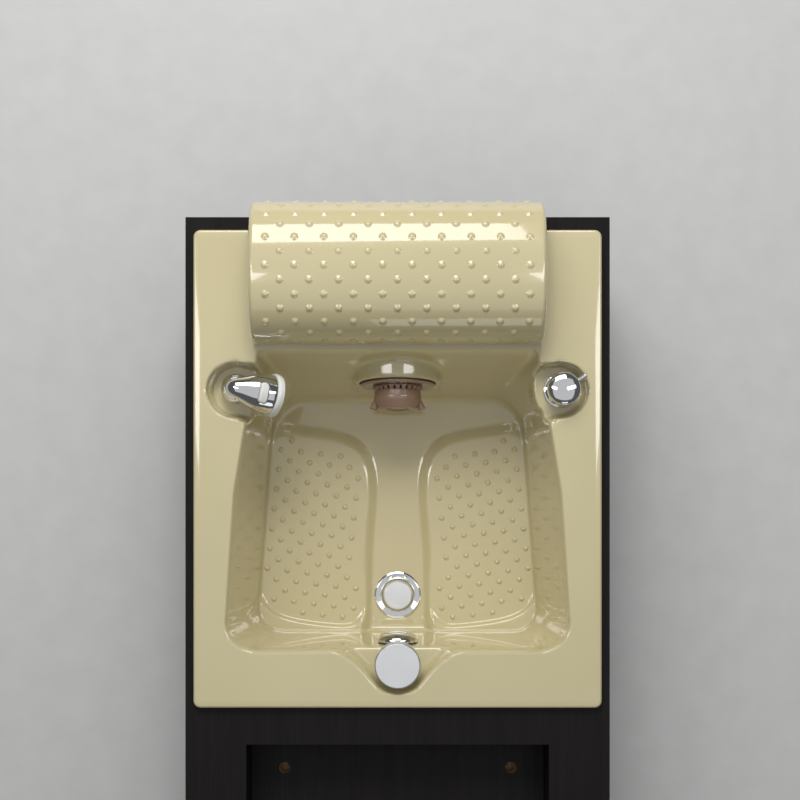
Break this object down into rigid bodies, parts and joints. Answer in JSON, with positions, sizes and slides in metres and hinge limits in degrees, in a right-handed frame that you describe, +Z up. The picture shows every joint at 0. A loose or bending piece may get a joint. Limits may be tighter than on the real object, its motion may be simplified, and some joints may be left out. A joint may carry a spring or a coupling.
{
  "type": "foot spa basin unit",
  "caption": "Moulded foot-spa tub with jet, taps, pop-up drain and saddle footrest, let into a boarded plinth with a recess for a chair base.",
  "frame": {"origin": "on the floor, under the middle of the unit's bounding box; the levelling feet stand on Z = 0", "axes": "+Z up, +Y along the unit towards the footrest end, +X to the mixer tap's side"},
  "size_m": [0.6, 1.296, 0.437],
  "materials": {
    "espresso_laminate": "satin",
    "chipboard": "raw",
    "timber": "sawn",
    "cream_gelcoat": "gloss",
    "chrome": "polished",
    "satin_chrome": "satin",
    "steel": "zinc plated",
    "braided_hose": "braided",
    "black_rubber": "matte",
    "brass": "machined",
    "white_plastic": "gloss",
    "grey_plastic": "matte",
    "smoky_plastic": "gloss"
  },
  "bodies": {
    "base": {"deck_panel": "espresso_laminate", "side_panel_left": "espresso_laminate", "side_panel_right": "espresso_laminate", "front_panel": "espresso_laminate", "rear_panel": "espresso_laminate", "bulkhead": "chipboard", "base_rails": "timber", "tub_cradle": "chipboard", "recess_floor": "espresso_laminate", "recess_walls": "espresso_laminate", "chair_bearers": "timber", "corner_brackets": "steel", "levelling_feet": "grey_plastic", "hinge_leaves": "steel", "hinge_pins": "steel", "door_catch": "white_plastic", "cable_gland": "black_rubber", "tub": "cream_gelcoat", "footrest": "cream_gelcoat", "footrest_buffers": "black_rubber", "footrest_bolts": "steel", "drain_flange": "chrome", "drain_gasket": "black_rubber", "drain_nut": "brass", "trap": "white_plastic", "slip_nut": "grey_plastic", "waste_pipe": "white_plastic", "overflow_cap": "chrome", "overflow_elbow": "white_plastic", "overflow_pipe": "white_plastic", "knob_bushing": "chrome", "control_cable": "black_rubber", "shank_nuts": "brass", "mixer_base": "chrome", "hot_hose": "braided_hose", "cold_hose": "braided_hose", "inlet_plate": "steel", "inlet_fittings": "brass", "sprayer_base": "chrome", "sprayer_hose": "braided_hose", "jet_gasket": "black_rubber", "jet_flange": "smoky_plastic", "jet_nut": "grey_plastic", "jet_motor": "grey_plastic", "power_box": "grey_plastic"},
    "door": {"access_door": "espresso_laminate", "door_leaves": "steel", "door_pull": "steel"},
    "knob": {"drain_knob": "satin_chrome"},
    "plug": {"drain_plug": "chrome"},
    "mixer_spindle": {"mixer_stem": "satin_chrome"},
    "mixer_lever": {"mixer_handle": "chrome", "mixer_pin": "chrome"},
    "hose_end": {"sprayer_tail": "steel"},
    "sprayer": {"sprayer_body": "chrome", "sprayer_collar": "white_plastic", "sprayer_face": "grey_plastic"},
    "button": {"sprayer_button": "white_plastic"},
    "jet_cover": {"jet_cap": "smoky_plastic"},
    "impeller": {"jet_impeller": "white_plastic"}
  },
  "joints": [
    {"name": "door_hinge", "type": "hinge", "parent": "base", "child": "door", "pos_m": [-0.191, 0.633, 0.17], "axis": [0, 0, 1], "range_deg": [0, 105]},
    {"name": "knob_turn", "type": "hinge", "parent": "base", "child": "knob", "pos_m": [0, -0.003, 0.352], "axis": [0, 0, 1], "range_deg": [0, 90]},
    {"name": "plug_lift", "type": "slide", "parent": "base", "child": "plug", "axis": [0, 0, 1], "range_m": [0, 0.009]},
    {"name": "mixer_turn", "type": "hinge", "parent": "base", "child": "mixer_spindle", "pos_m": [0.233, 0.385, 0.356], "axis": [0, 0, 1], "range_deg": [-45, 45]},
    {"name": "mixer_tilt", "type": "hinge", "parent": "mixer_spindle", "child": "mixer_lever", "pos_m": [0.233, 0.385, 0.356], "axis": [0.5299, -0.848, 0], "range_deg": [0, 15]},
    {"name": "sprayer_lift", "type": "slide", "parent": "base", "child": "hose_end", "axis": [0, 0, 1], "range_m": [0, 0.1]},
    {"name": "sprayer_swivel", "type": "hinge", "parent": "hose_end", "child": "sprayer", "pos_m": [-0.23, 0.387, 0.352], "axis": [0, 0, 1], "range_deg": [-10, 20]},
    {"name": "button_press", "type": "slide", "parent": "sprayer", "child": "button", "axis": [-0.4535, 0.1215, -0.8829], "range_m": [0, 0.002], "stiffness_N_per_m": 300, "springref_m": -0.001},
    {"name": "jet_cap_twist", "type": "hinge", "parent": "base", "child": "jet_cover", "pos_m": [0, 0.398, 0.26], "axis": [0, -0.9945, 0.1045], "range_deg": [0, 25]},
    {"name": "impeller_spin", "type": "hinge", "parent": "base", "child": "impeller", "pos_m": [0, 0.398, 0.26], "axis": [0, -0.9945, 0.1045], "continuous": true}
  ],
  "couplings": [
    {"joint": "plug_lift", "follows": "knob_turn", "m_per_rad": 0.0057295}
  ]
}
